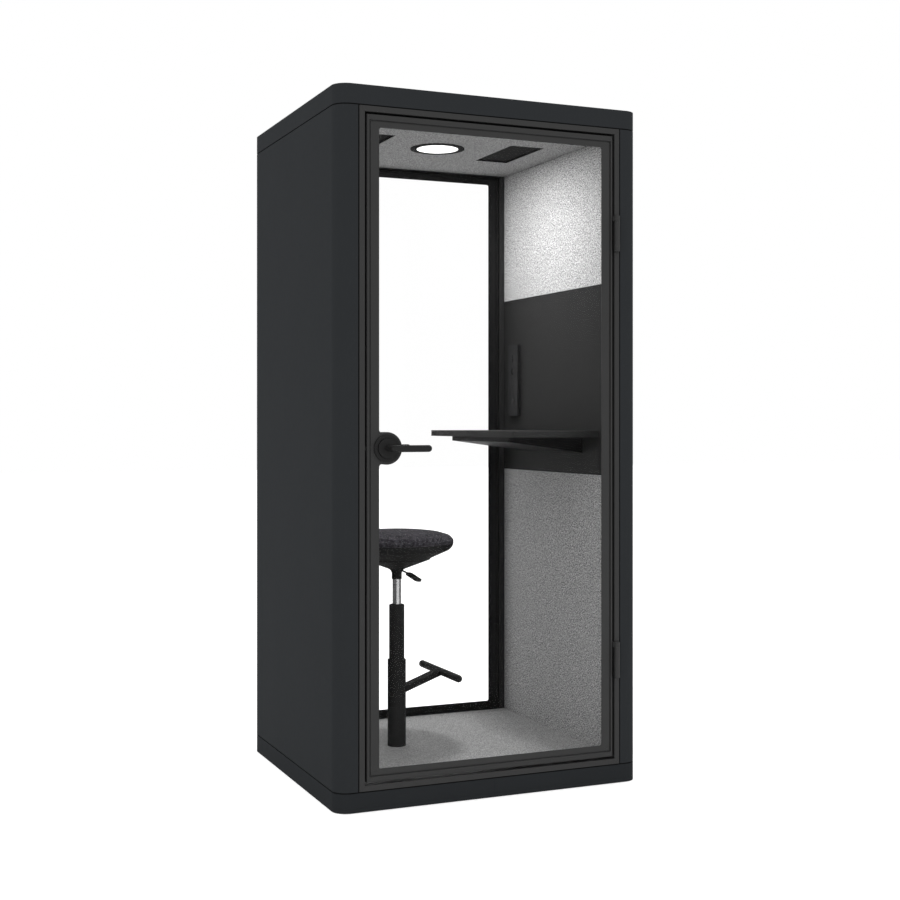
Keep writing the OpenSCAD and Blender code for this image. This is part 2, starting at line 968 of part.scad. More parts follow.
// Round plate that grows out of the bead with a fillet above and below
module case_plate2d() {
    bead_x = -lock_in;
    fx = bead_x + case_fillet_r;
    fz = sqrt(pow(case_r + case_fillet_r, 2) - fx * fx);
    circle(case_r);
    for (s = [-1, 1])
        difference() {
            polygon([[bead_x + hair, 0], [bead_x + hair, s * fz], [fx, s * fz], [0, 0]]);
            translate([fx, s * fz])
                circle(case_fillet_r);
        }
}

module lock_case() {
    front = front_y + bead_recess;
    color(graphite)
        difference() {
            at_lock() {
                upright(front, front + bead_t)
                    case_plate2d();
                upright(front, leaf_back_y)
                    circle(case_core_r);
                upright(front_y + flange_y, leaf_back_y)
                    circle(case_r);
            }
            at_lock()
                upright(front_y, leaf_back_y + over)
                    circle(spindle_room / 2);
            bolt_bar(hair, bolt_throw);
        }
}

module rose(y, s) {
    at_lock()
        translate([0, y, 0])
            rotate([s * 90, 0, 0])
                difference() {
                    union() {
                        cylinder(r = rose_r, h = rose_t);
                        cylinder(r = rose_hub_r, h = rose_hub_t);
                    }
                    translate([0, 0, rose_t / 2])
                        difference() {
                            cylinder(r = rose_hub_r + rose_groove, h = rose_hub_t);
                            cylinder(r = rose_hub_r, h = rose_hub_t);
                        }
                    translate([0, 0, -over])
                        cylinder(r = neck_r + run, h = rose_hub_t + 2 * over);
                }
}

module roses() {
    color(soft_black) {
        rose(front_y + bead_recess, 1);
        rose(leaf_back_y, -1);
    }
}

// Round lever: neck out of the rose, then a grip towards the hinges
module lever(face_y, s) {
    grip_y = face_y + s * lever_out;
    at_lock()
        difference() {
            union() {
                translate([0, face_y, 0])
                    rotate([-s * 90, 0, 0])
                        cylinder(r = neck_r, h = lever_out);
                translate([0, grip_y, 0])
                    sphere(lever_r);
                translate([0, grip_y, 0])
                    pin_x(0, lever_l - lever_r, lever_r);
                translate([lever_l - lever_r, grip_y, 0])
                    sphere(lever_r);
            }
            translate([0, face_y, 0])
                rotate([-s * 90, 0, 0])
                    translate([0, 0, -over])
                        linear_extrude(lever_out / 2 + over)
                            square(spindle_w + 2 * spindle_fit, center = true);
        }
}

module lever_outside() {
    color(soft_black)
        lever(front_y + bead_recess - hair, -1);
}

module lever_inside() {
    color(soft_black)
        lever(leaf_back_y + hair, 1);
}

module spindle() {
    reach = lever_out / 2 - over;
    color(steel)
        at_lock()
            upright(front_y + bead_recess - reach, leaf_back_y + reach)
                square(spindle_w, center = true);
}

module latch_bolt() {
    color(chrome)
        bolt_bar(0, 0);
}

// Fixed halves of the two hinges, each with its pin and the tongue that enters the jamb
module hinge_bases() {
    base_h = barrel_h - knuckle_h - knuckle_gap;
    color(soft_black)
        for (z = hinge_zs)
            translate([hinge_x, hinge_y, z]) {
                cylinder(r = barrel_r, h = base_h);
                cylinder(r = hinge_pin_r, h = barrel_h - pin_end - over);
                translate([-tongue_w / 2, 0, tongue_margin])
                    cube([tongue_w, tongue_l, barrel_h - knuckle_h - 2 * tongue_margin]);
            }
}

// Door halves of the two hinges, each with the arm that is screwed to the leaf's edge
module hinge_arms() {
    color(soft_black)
        for (z = hinge_zs)
            translate([0, 0, z + barrel_h - knuckle_h])
                difference() {
                    union() {
                        translate([hinge_x, hinge_y, 0])
                            cylinder(r = barrel_r, h = knuckle_h);
                        translate([leaf_x, hinge_y, 0])
                            cube([arm_t, leaf_back_y - arm_back - hinge_y, knuckle_h]);
                    }
                    translate([hinge_x, hinge_y, -over])
                        cylinder(r = hinge_pin_r + run, h = knuckle_h - pin_end + over);
                }
}

// Table

module table_top() {
    color(graphite)
        level(table_z - table_t, table_z)
            difference() {
                translate([table_x + table_reach / 2, table_mid_y])
                    rounded(table_reach, table_l, table_corner_r);
                translate([inner_x, 0])
                    square([2 * hair, 2 * pod_d], center = true);
            }
}

// Wedge shape of the bracket seen from the front, shrunk by the sheet for its hollow
module wedge2d(t) {
    top = table_z - table_t;
    tip = inner_x - bracket_reach;
    polygon([[tip + t, top + t], [inner_x - t, top + t], [inner_x - t, top - bracket_wall_h + t],
        [tip + t, top - bracket_tip_h + t]]);
}

module table_bracket() {
    top = table_z - table_t;
    color(graphite)
        difference() {
            intersection() {
                upright(bracket_y, bracket_y + bracket_l)
                    wedge2d(0);
                translate([inner_x - bracket_reach, bracket_y, 0])
                    cube([bracket_reach, bracket_l, top]);
            }
            upright(bracket_y + bracket_t, bracket_y + bracket_l - bracket_t)
                wedge2d(bracket_t);
            wall_bolt_holes();
        }
}

module at_wall_bolts() {
    for (share = bolt_rows)
        translate([inner_x, bracket_y + share * bracket_l, table_z - table_t - bracket_wall_h / 2])
            children();
}

module wall_bolt_holes() {
    at_wall_bolts()
        rotate([0, 90, 0])
            cylinder(r = wall_bolt_r + hair, h = 2 * (wall_bolt_l + hair), center = true);
}

module at_flange_bolts() {
    for (a = [45 : 90 : 315])
        translate([stool_x, 0, deck_z])
            rotate(a)
                translate([flange_bolt_pcd_r, 0, 0])
                    children();
}

module flange_bolt_holes() {
    at_flange_bolts()
        translate([0, 0, -flange_bolt_l - hair])
            cylinder(r = flange_bolt_r + hair, h = flange_bolt_l + hair + over);
}

// Set screw of the stool's column, pointing out of it
module at_set_screw() {
    translate([stool_x, 0, screw_z])
        rotate([0, 90, screw_turn])
            children();
}

// Wall bolts of the bracket, floor bolts of the stool and its set screw
module fasteners() {
    color(steel) {
        at_wall_bolts()
            rotate([0, -90, 0]) {
                translate([0, 0, bracket_t])
                    cylinder(r = wall_bolt_head_r, h = wall_bolt_head_h);
                translate([0, 0, -wall_bolt_l])
                    cylinder(r = wall_bolt_r, h = wall_bolt_l + bracket_t);
            }
        at_flange_bolts()
            translate([0, 0, -flange_bolt_l])
                cylinder(r = flange_bolt_r, h = flange_bolt_l);
        at_set_screw()
            translate([0, 0, upper_r + run])
                cylinder(r = screw_r, h = tube_r - upper_r - hair - run);
    }
}

// Stool

module on_column() {
    translate([stool_x, 0, 0])
        children();
}

module tube(r0, r1, z0, z1) {
    on_column()
        translate([0, 0, z0])
            difference() {
                cylinder(r = r1, h = z1 - z0);
                translate([0, 0, -over])
                    cylinder(r = r0, h = z1 - z0 + 2 * over);
            }
}

module stool_flange() {
    color(steel)
        difference() {
            on_column()
                translate([0, 0, deck_z - stool_flange_t])
                    cylinder(r = stool_flange_r, h = stool_flange_t);
            flange_bolt_holes();
        }
}

module lower_tube() {
    color(soft_black)
        difference() {
            tube(upper_r + upper_clear, tube_r, deck_z, tube_low_z);
            at_set_screw()
                cylinder(r = screw_r + hair, h = tube_r + over);
        }
}

module upper_tube() {
    foot = tube_low_z - upper_overlap;
    color(soft_black) {
        tube(upper_r - tube_wall, upper_r, foot, tube_top_z);
        tube(rod_r + rod_clear, upper_r - tube_wall + over, foot, foot + tube_floor_t);
    }
}

module guide_bush() {
    color(soft_black)
        tube(lift_r + run, upper_r - tube_wall - hair, tube_top_z - bush_t, tube_top_z + bush_lip);
}

module footrest() {
    rise = arm_z1 - arm_z0;
    straight = rest_l / 2 - rest_r;
    color(soft_black)
        difference() {
            on_column() {
                translate([0, 0, arm_z0])
                    rotate([0, 90 - atan2(rise, arm_reach), 0])
                        linear_extrude(norm([arm_reach, rise]))
                            rounded(arm_h, arm_w, arm_edge_r);
                translate([arm_reach, -straight, arm_z1])
                    rotate([-90, 0, 0])
                        cylinder(r = rest_r, h = 2 * straight);
                for (s = [-1, 1])
                    translate([arm_reach, s * straight, arm_z1])
                        sphere(rest_r);
            }
            on_column()
                cylinder(r = tube_r, h = tube_low_z);
        }
}

module thrust_bearing() {
    foot = tube_low_z - upper_overlap + tube_floor_t;
    color(steel)
        tube(rod_r, bearing_r, foot + hair, foot + bearing_t);
}

module piston_rod() {
    foot = tube_low_z - upper_overlap + tube_floor_t;
    color(chrome)
        on_column() {
            translate([0, 0, foot + hair])
                cylinder(r = rod_r, h = piston_z - foot);
            translate([0, 0, piston_z])
                cylinder(r = lift_r - gas_wall - run, h = piston_t);
        }
}

module pressure_tube() {
    top = hub_z + gas_in_hub;
    color(chrome)
        difference() {
            on_column()
                translate([0, 0, gas_foot_z])
                    cylinder(r = lift_r, h = top - gas_foot_z);
            on_column()
                translate([0, 0, gas_foot_z + gas_end_t])
                    cylinder(r = lift_r - gas_wall, h = top - gas_foot_z - 2 * gas_end_t);
            on_column()
                translate([0, 0, gas_foot_z - over])
                    cylinder(r = rod_r + run, h = gas_end_t + 2 * over);
        }
}

module at_handle() {
    on_column()
        rotate(handle_turn)
            translate([0, 0, handle_z])
                children();
}

// Height of the seat's underside inside the step, and outside it, at a distance from the axis
function plate_z(r) = step_z - step_drop - (step_r - step_in - r) * tan(plate_rise);
function cone_z(r) = step_z - (step_r - r) * tan(shell_rise);

// Radius of the inside of the shell's rounded rim at the height z
function shell_inner_r(z) = round_c.x + sqrt(pow(rim_round_r - shell_t, 2) - pow(belly_z - z, 2));

module seat_hub() {
    plate_top = plate_z(hub_plate_r) + plate_lift;
    color(soft_black)
        difference() {
            on_column()
                rotate_extrude()
                    difference() {
                        polygon([[0, hub_z], [neck_out_r, hub_z], [neck_out_r, neck_z],
                            [flare_r, flare_z], [hub_r, plate_z(hub_r)],
                            [hub_r, plate_z(hub_r) + plate_lift], [hub_plate_r, plate_top],
                            [hub_plate_r, plate_top + hub_plate_t], [0, plate_top + hub_plate_t]]);
                        square([lift_r + run, hub_z + gas_in_hub + hair]);
                        translate([neck_out_r + neck_fillet_r, neck_z])
                            circle(neck_fillet_r);
                    }
            at_handle()
                handle_slot();
        }
}

// Room in the hub for the lever's pin and rod
module handle_slot() {
    slot_h = 2 * (handle_rod_r + over + hair);
    translate([lift_r + gas_wall, -handle_rod_r - over, -slot_h])
        cube([hub_r, 2 * (handle_rod_r + over), 2 * slot_h]);
    translate([handle_pin_x, 0, 0])
        rotate([90, 0, 0])
            cylinder(r = handle_pin_r + run, h = handle_pin_l + 2 * hair, center = true);
}

// Half section of the seat shell, filled up to the rim and shrunk inwards by t
module shell2d(t) {
    step_foot = step_r - max(step_in, t);
    cone_end = round_c + (rim_round_r - t) * [sin(shell_rise), -cos(shell_rise)];
    rim = [round_c.x + sqrt(pow(rim_round_r - t, 2) - belly_up * belly_up), rim_z];
    polygon([[0, plate_z(0) + t / cos(plate_rise)],
        [step_foot, plate_z(step_foot) + t / cos(plate_rise)],
        [step_r - t, cone_z(step_r - t) + t / cos(shell_rise)],
        cone_end, rim, [rim.x, rim_z + t], [0, rim_z + t]]);
    bulge2d(rim, cone_end, arc_rise(rim, cone_end, rim_round_r - t));
}

module seat_shell() {
    color(soft_black)
        on_column()
            difference() {
                rotate_extrude()
                    difference() {
                        shell2d(0);
                        shell2d(shell_t);
                    }
                cylinder(r = hub_r + hair, h = rim_z);
            }
}

module seat_board() {
    foot_z = rim_z - board_t;
    color(board)
        on_column()
            translate([0, 0, foot_z])
                cylinder(r1 = shell_inner_r(foot_z) - board_gap, r2 = shell_inner_r(rim_z) - board_gap,
                    h = board_t);
}

// Flat dome whose arc runs into the round side without an edge
module seat_cushion() {
    side_c = [seat_r - shoulder_r, belly_z];
    peak_z = crown_z + crown_flat;
    rise = peak_z - belly_z;
    dome_r = (pow(side_c.x, 2) + rise * rise - shoulder_r * shoulder_r) / (2 * (rise - shoulder_r));
    turn = atan2(dome_r - rise, side_c.x);
    meet = side_c + shoulder_r * [cos(turn), sin(turn)];
    foot_z = rim_z + hair;
    foot = [side_c.x + sqrt(shoulder_r * shoulder_r - pow(belly_z - foot_z, 2)), foot_z];
    top = [0, peak_z];
    color(melange)
        on_column()
            rotate_extrude()
                intersection() {
                    union() {
                        polygon([[0, foot_z], foot, meet, top]);
                        bulge2d(meet, foot, arc_rise(meet, foot, shoulder_r));
                        bulge2d(top, meet, arc_rise(top, meet, dome_r));
                    }
                    square([seat_r + hair, crown_z]);
                }
}

// Lever under the seat: pin, dropping rod and flat paddle
module height_lever() {
    rod_run = handle_rod_l - handle_pin_x;
    rod_tilt = atan2(handle_drop, rod_run);
    paddle_tilt = atan2(paddle_drop, paddle_l);
    color(soft_black)
        at_handle() {
            translate([handle_pin_x, 0, 0])
                rotate([90, 0, 0])
                    cylinder(r = handle_pin_r, h = handle_pin_l, center = true);
            translate([handle_pin_x, 0, 0])
                rotate([0, 90 + rod_tilt, 0])
                    cylinder(r = handle_rod_r, h = norm([rod_run, handle_drop]));
            translate([handle_rod_l, 0, -handle_drop])
                rotate([0, paddle_tilt, 0])
                    translate([paddle_l / 2 - paddle_t, 0, -paddle_t / 2])
                        linear_extrude(paddle_t)
                            rounded(paddle_l, paddle_w, paddle_w / 2 - hair);
        }
}

// Power strip on the dark wall panel

module strip_well(z, r, deep) {
    translate([strip_x - over, strip_y, z])
        rotate([0, 90, 0])
            cylinder(r = r, h = deep + over);
}

module power_strip() {
    color(graphite)
        difference() {
            wall_slab(strip_x, inner_x)
                translate([strip_y, (strip_z0 + strip_z1) / 2])
                    rounded(strip_w, strip_z1 - strip_z0, strip_r);
            for (z = [light_z, fan_z])
                strip_well(z, button_r + button_clear, button_l - button_out + button_back);
            strip_well(outlet_z, outlet_r, outlet_deep);
            wall_slab(strip_x - over, strip_x + outlet_deep)
                translate([strip_y, usb_z])
                    square([usb_w, usb_h], center = true);
        }
}

module socket_inserts() {
    color(soft_black) {
        difference() {
            strip_piece(outlet_z, outlet_r - hair);
            strip_well(outlet_z, outlet_well_r, outlet_well);
            for (s = [-1, 1])
                strip_well(outlet_z + s * outlet_pitch / 2, outlet_hole_r, outlet_deep - over);
        }
        difference() {
            wall_slab(strip_x, strip_x + outlet_deep)
                translate([strip_y, usb_z])
                    square([usb_w - 2 * hair, usb_h - 2 * hair], center = true);
            for (s = [-1, 1])
                wall_slab(strip_x - over, strip_x + usb_slot_deep)
                    translate([strip_y, usb_z + s * usb_h / 4])
                        square([usb_slot_w, usb_slot_h], center = true);
        }
    }
}

module strip_piece(z, r) {
    translate([strip_x, strip_y, z])
        rotate([0, 90, 0])
            cylinder(r = r, h = outlet_deep);
}

module push_button(z) {
    color(chrome)
        translate([strip_x - button_out, strip_y, z])
            rotate([0, 90, 0])
                cylinder(r = button_r, h = button_l);
}

module light_button() {
    push_button(light_z);
}

module fan_button() {
    push_button(fan_z);
}

// Lamp, vents and fans

module lamp_body() {
    color(graphite)
        rotate_extrude()
            difference() {
                union() {
                    translate([0, ceiling_z - lamp_ring_t])
                        square([lamp_r, lamp_ring_t]);
                    translate([0, ceiling_z])
                        square([lamp_can_r, lamp_can_h]);
                }
                square([diffuser_r + hair, ceiling_z + over]);
                translate([0, ceiling_z])
                    square([lamp_can_r - lamp_wall, lamp_can_h - lamp_wall]);
            }
}

module lamp_diffuser() {
    color(opal)
        translate([0, 0, ceiling_z]) {
            translate([0, 0, diffuser_set - lamp_ring_t])
                cylinder(r = diffuser_r, h = lamp_ring_t);
            cylinder(r = diffuser_r + diffuser_lip, h = diffuser_t);
        }
}

// Recessed air grilles: a collar in the ceiling panel with a slotted sheet across it
module vent_grilles() {
    pitch = grille_slot_w + grille_slot_gap;
    clear_l = vent_l - 2 * (grille_wall + grille_slot_in);
    count = floor((clear_l + grille_slot_gap) / pitch);
    color(soft_black)
        at_vents() {
            level(ceiling_z, ceiling_z + grille_h)
                difference() {
                    square([vent_w, vent_l], center = true);
                    square([vent_w - 2 * grille_wall, vent_l - 2 * grille_wall], center = true);
                }
            level(ceiling_z + grille_sheet_up, ceiling_z + grille_sheet_up + grille_sheet_t)
                difference() {
                    square([vent_w - grille_wall, vent_l - grille_wall], center = true);
                    for (i = [0 : count - 1])
                        translate([0, (i - (count - 1) / 2) * pitch])
                            square([vent_w - 2 * (grille_wall + grille_slot_in), grille_slot_w],
                                center = true);
                }
        }
}

module fan_frames() {
    color(soft_black)
        for (sx = [-1, 1])
            translate([sx * vent_off, 0, roof_z0]) {
                linear_extrude(fan_h)
                    difference() {
                        rounded(fan_w, fan_w, fan_corner_r);
                        circle(fan_bore_r);
                    }
                cylinder(r = fan_stator_r, h = fan_stator_t);
                cylinder(r = fan_axle_r, h = fan_stator_t + fan_axle_l);
                for (a = [0, 90])
                    rotate(a)
                        linear_extrude(fan_stator_t)
                            square([2 * (fan_bore_r + over), fan_strut_w], center = true);
            }
}

module fan_rotor_left() {
    color(graphite)
        translate([-vent_off, 0, roof_z0 + fan_stator_t + rotor_gap])
            difference() {
                union() {
                    cylinder(r = fan_hub_r, h = rotor_h);
                    intersection() {
                        cylinder(r = fan_tip_r, h = rotor_h);
                        for (i = [0 : fan_blades - 1])
                            rotate(i * 360 / fan_blades)
                                translate([fan_tip_r / 2, 0, rotor_h / 2])
                                    rotate([-fan_blade_tilt, 0, 0])
                                        cube([fan_tip_r, fan_blade_w, fan_blade_t], center = true);
                    }
                }
                translate([0, 0, -over])
                    cylinder(r = fan_axle_r + run, h = rotor_h + 2 * over);
            }
}

module fan_rotor_right() {
    mirror([1, 0, 0])
        fan_rotor_left();
}

plinth_skirt();
levelling_feet();
floor_slab();
floor_carpet();
side_shell_left();
side_shell_right();
wall_cores();
felt_left();
felt_right_upper();
felt_right_lower();
media_panel();
roof_deck();
roof_cap();
ceiling_panel();
door_jamb();
strike_plate();
wall_seals();
rear_jamb();
rear_sash();
rear_bead();
rear_glass();
rear_gasket();
leaf_frame();
glazing_bead();
door_glass();
door_gasket();
lock_case();
roses();
lever_outside();
lever_inside();
spindle();
latch_bolt();
hinge_bases();
hinge_arms();
table_top();
table_bracket();
fasteners();
stool_flange();
lower_tube();
upper_tube();
footrest();
guide_bush();
thrust_bearing();
piston_rod();
pressure_tube();
seat_hub();
seat_shell();
seat_board();
seat_cushion();
height_lever();
power_strip();
socket_inserts();
light_button();
fan_button();
lamp_body();
lamp_diffuser();
vent_grilles();
fan_frames();
fan_rotor_left();
fan_rotor_right();
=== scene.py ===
"""Looks of an acoustic office pod for one person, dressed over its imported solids."""

import math

import bmesh
import bpy
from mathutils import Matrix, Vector


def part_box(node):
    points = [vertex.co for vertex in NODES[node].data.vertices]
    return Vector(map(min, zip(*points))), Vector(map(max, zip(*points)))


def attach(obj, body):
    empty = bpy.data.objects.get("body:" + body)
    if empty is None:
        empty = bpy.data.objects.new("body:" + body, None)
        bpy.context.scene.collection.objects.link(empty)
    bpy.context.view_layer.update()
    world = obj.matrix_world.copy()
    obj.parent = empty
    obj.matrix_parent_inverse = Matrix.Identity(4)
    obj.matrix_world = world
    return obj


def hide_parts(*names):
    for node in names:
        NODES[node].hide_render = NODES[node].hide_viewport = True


MM = 0.001
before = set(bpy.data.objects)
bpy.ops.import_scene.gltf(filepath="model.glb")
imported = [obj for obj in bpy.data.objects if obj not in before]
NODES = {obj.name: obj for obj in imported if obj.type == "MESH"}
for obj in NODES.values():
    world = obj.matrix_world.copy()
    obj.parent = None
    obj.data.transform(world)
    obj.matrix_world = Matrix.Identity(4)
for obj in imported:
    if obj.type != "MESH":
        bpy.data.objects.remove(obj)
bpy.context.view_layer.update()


# Node trees


def tone(red, green, blue):
    """Linear colour of a tone that is read off a screen, from 0 to 255."""
    def straighten(step):
        share = step / 255
        return share / 12.92 if share <= 0.04045 else ((share + 0.055) / 1.055) ** 2.4

    return (straighten(red), straighten(green), straighten(blue), 1.0)


def add(tree, kind, inputs=None, **settings):
    """One node, its settings, and its inputs by name or number: a value, or a socket to link."""
    made = tree.nodes.new(kind)
    for name, value in settings.items():
        setattr(made, name, value)
    for key, value in (inputs or {}).items():
        if isinstance(value, bpy.types.NodeSocket):
            tree.links.new(value, made.inputs[key])
        else:
            made.inputs[key].default_value = value
    return made


def new_material(name):
    material = bpy.data.materials.new(name)
    material.use_nodes = True
    material.node_tree.nodes.clear()
    return material, material.node_tree


def place(tree, stretch=(1, 1, 1)):
    """Object coordinates, stretched for a grain that runs one way."""
    where = add(tree, "ShaderNodeTexCoord").outputs["Object"]
    if stretch == (1, 1, 1):
        return where
    return add(tree, "ShaderNodeMapping", {"Vector": where, "Scale": stretch}).outputs["Vector"]


def noise(tree, where, size, detail=2.0, rough=0.5):
    """Noise from 0 to 1 whose lumps are about size metres across."""
    inputs = {"Vector": where, "Scale": 1 / size, "Detail": detail, "Roughness": rough}
    return add(tree, "ShaderNodeTexNoise", inputs).outputs["Fac"]


def remap(tree, value, low, high, start=0.0, stop=1.0):
    """The value's stretch from start to stop, spread from low to high."""
    inputs = {"Value": value, "From Min": start, "From Max": stop, "To Min": low, "To Max": high}
    return add(tree, "ShaderNodeMapRange", inputs).outputs["Result"]


def calculate(tree, operation, first, second):
    """Math on two values, each a number or a socket."""
    return add(tree, "ShaderNodeMath", {0: first, 1: second}, operation=operation).outputs[0]


def mix_tones(tree, share, first, second):
    """Colour between two. The node's sockets for colours are inputs 6 and 7 and output 2."""
    inputs = {"Factor": share, 6: first, 7: second}
    return add(tree, "ShaderNodeMix", inputs, data_type="RGBA").outputs[2]


def bump(tree, height, depth, strength):
    inputs = {"Height": height, "Distance": depth, "Strength": strength}
    return add(tree, "ShaderNodeBump", inputs).outputs["Normal"]


def surface(tree, inputs):
    """Principled surface on the material's output."""
    shader = add(tree, "ShaderNodeBsdfPrincipled", inputs)
    add(tree, "ShaderNodeOutputMaterial", {"Surface": shader.outputs["BSDF"]})


def shade(colour, share):
    """The colour made darker or lighter by a share of itself."""
    return tuple(min(1.0, c * share) for c in colour[:3]) + (1.0,)


# Finishes


def powder_coat(name, colour, rough=0.65, gloss=0.01, grain=0.9 * MM):
    """Matt sprayed powder: a fine orange peel, faint clouds, and dust that dulls it here and there."""
    material, tree = new_material(name)
    where = place(tree)
    peel = noise(tree, where, grain, 3.0, 0.6)
    clouds = noise(tree, where, 180 * MM, 3.0)
    dust = noise(tree, where, 22 * MM, 4.0, 0.65)
    base = mix_tones(tree, clouds, shade(colour, 0.95), shade(colour, 1.05))
    base = mix_tones(tree, remap(tree, peel, 0.0, 0.5, 0.35, 0.75), base, shade(colour, 1.12))
    surface(tree, {
        "Base Color": base,
        "Roughness": remap(tree, dust, rough - 0.05, rough + 0.06),
        "Specular IOR Level": gloss,
        "Normal": bump(tree, peel, 0.05 * MM, 0.5),
    })
    return material


def pressed_felt(name, colour, grain, contrast, depth=1.4 * MM):
    """Pressed felt: stippled lumps, loose fibres across them, and a soft fuzz."""
    material, tree = new_material(name)
    where = place(tree)
    lumps = noise(tree, where, grain, 2.0, 0.55)
    cells = add(tree, "ShaderNodeTexVoronoi", {"Vector": where, "Scale": 1 / (0.8 * grain)},
                feature="SMOOTH_F1").outputs["Distance"]
    fibres = noise(tree, where, 1.3 * MM, 3.0, 0.7)
    clouds = noise(tree, where, 240 * MM, 2.0)
    stipple = calculate(tree, "ADD", lumps, remap(tree, cells, -0.12, 0.12))
    stipple = remap(tree, stipple, 0.0, 1.0, 0.34, 0.66)
    base = mix_tones(tree, stipple, shade(colour, 1 - contrast), shade(colour, 1 + contrast))
    base = mix_tones(tree, remap(tree, fibres, 0.0, 0.6, 0.48, 0.78), base, shade(colour, 1.4))
    base = mix_tones(tree, remap(tree, clouds, 0.0, 0.12), base, shade(colour, 0.7))
    rise = calculate(tree, "ADD", stipple, remap(tree, fibres, 0.0, 0.35))
    surface(tree, {
        "Base Color": base,
        "Roughness": 0.95,
        "Specular IOR Level": 0.05,
        "Sheen Weight": 0.08,
        "Sheen Roughness": 0.6,
        "Normal": bump(tree, rise, depth, 0.6),
    })
    return material


def laminate(name, colour, rough=0.55):
    """Matt laminate with a fine, slightly drawn out grain."""
    material, tree = new_material(name)
    grain = noise(tree, place(tree, (1.0, 0.35, 1.0)), 1.4 * MM, 3.0, 0.6)
    clouds = noise(tree, place(tree), 140 * MM, 3.0)
    base = mix_tones(tree, clouds, shade(colour, 0.94), shade(colour, 1.06))
    base = mix_tones(tree, remap(tree, grain, 0.0, 0.45, 0.4, 0.8), base, shade(colour, 1.15))
    surface(tree, {
        "Base Color": base,
        "Roughness": remap(tree, clouds, rough - 0.05, rough + 0.07),
        "Specular IOR Level": 0.05,
        "Normal": bump(tree, grain, 0.04 * MM, 0.5),
    })
    return material


def moulded_plastic(name, colour, rough, gloss):
    """Moulded plastic with a spark eroded texture."""
    material, tree = new_material(name)
    where = place(tree)
    pits = noise(tree, where, 0.6 * MM, 2.0, 0.6)
    clouds = noise(tree, where, 60 * MM, 2.0)
    surface(tree, {
        "Base Color": mix_tones(tree, clouds, shade(colour, 0.92), shade(colour, 1.08)),
        "Roughness": remap(tree, pits, rough - 0.06, rough + 0.08),
        "Specular IOR Level": gloss,
        "Normal": bump(tree, pits, 0.04 * MM, 0.4),
    })
    return material


def rubber(name, colour):
    """Rubber with a dull bloom on it."""
    material, tree = new_material(name)
    where = place(tree)
    bloom = noise(tree, where, 9 * MM, 4.0, 0.7)
    surface(tree, {
        "Base Color": mix_tones(tree, bloom, shade(colour, 0.8), shade(colour, 1.3)),
        "Roughness": remap(tree, bloom, 0.6, 0.8),
        "Specular IOR Level": 0.08,
        "Normal": bump(tree, noise(tree, where, 0.8 * MM), 0.03 * MM, 0.4),
    })
    return material


def metal(name, colour, rough, along=(1, 1, 1)):
    """Bare metal with fine lines drawn along the axis that is stretched least."""
    material, tree = new_material(name)
    drawn = noise(tree, place(tree, along), 0.5 * MM, 4.0, 0.7)
    clouds = noise(tree, place(tree), 40 * MM, 2.0)
    surface(tree, {
        "Base Color": mix_tones(tree, clouds, shade(colour, 0.9), colour),
        "Metallic": 1.0,
        "Roughness": remap(tree, drawn, rough * 0.7, rough * 1.4),
        "Normal": bump(tree, drawn, 0.01 * MM, 0.4),
    })
    return material


def plywood(name, light, dark):
    """Plywood: figure on the faces and plies across the edge."""
    material, tree = new_material(name)
    figure = noise(tree, place(tree, (1.0, 0.12, 1.0)), 6 * MM, 6.0, 0.65)
    bands = {"Vector": place(tree), "Scale": 1 / (9 * MM), "Distortion": 0.4}
    plies = add(tree, "ShaderNodeTexWave", bands, wave_type="BANDS",
                bands_direction="Z").outputs["Fac"]
    base = mix_tones(tree, figure, dark, light)
    base = mix_tones(tree, remap(tree, plies, 0.0, 0.35), base, dark)
    surface(tree, {
        "Base Color": base,
        "Roughness": remap(tree, figure, 0.55, 0.75),
        "Normal": bump(tree, figure, 0.1 * MM, 0.4),
    })
    return material


def clear_glass(name):
    """Laminated pane that lets the lamps through, with hardly any mirror image in it."""
    material, tree = new_material(name)
    smear = noise(tree, place(tree, (1.0, 1.0, 0.4)), 120 * MM, 3.0)
    pane = add(tree, "ShaderNodeBsdfPrincipled", {
        "Base Color": (1.0, 1.0, 1.0, 1.0),
        "Roughness": remap(tree, smear, 0.0, 0.02, 0.4, 0.8),
        "IOR": 1.08,
        "Transmission Weight": 1.0,
    })
    rays = add(tree, "ShaderNodeLightPath")
    passing = calculate(tree, "MAXIMUM", rays.outputs["Is Shadow Ray"],
                        rays.outputs["Is Diffuse Ray"])
    open_air = add(tree, "ShaderNodeBsdfTransparent", {"Color": (1.0, 1.0, 1.0, 1.0)})
    both = add(tree, "ShaderNodeMixShader", {
        0: passing, 1: pane.outputs["BSDF"], 2: open_air.outputs["BSDF"],
    })
    add(tree, "ShaderNodeOutputMaterial", {"Surface": both.outputs["Shader"]})
    return material


def opal(name, strength):
    """Opal disc with the lamp behind it."""
    material, tree = new_material(name)
    spread = noise(tree, place(tree), 30 * MM, 2.0)
    surface(tree, {
        "Base Color": tone(244, 244, 240),
        "Roughness": 0.45,
        "Emission Color": mix_tones(tree, spread, tone(255, 253, 248), tone(255, 255, 255)),
        "Emission Strength": strength,
    })
    return material


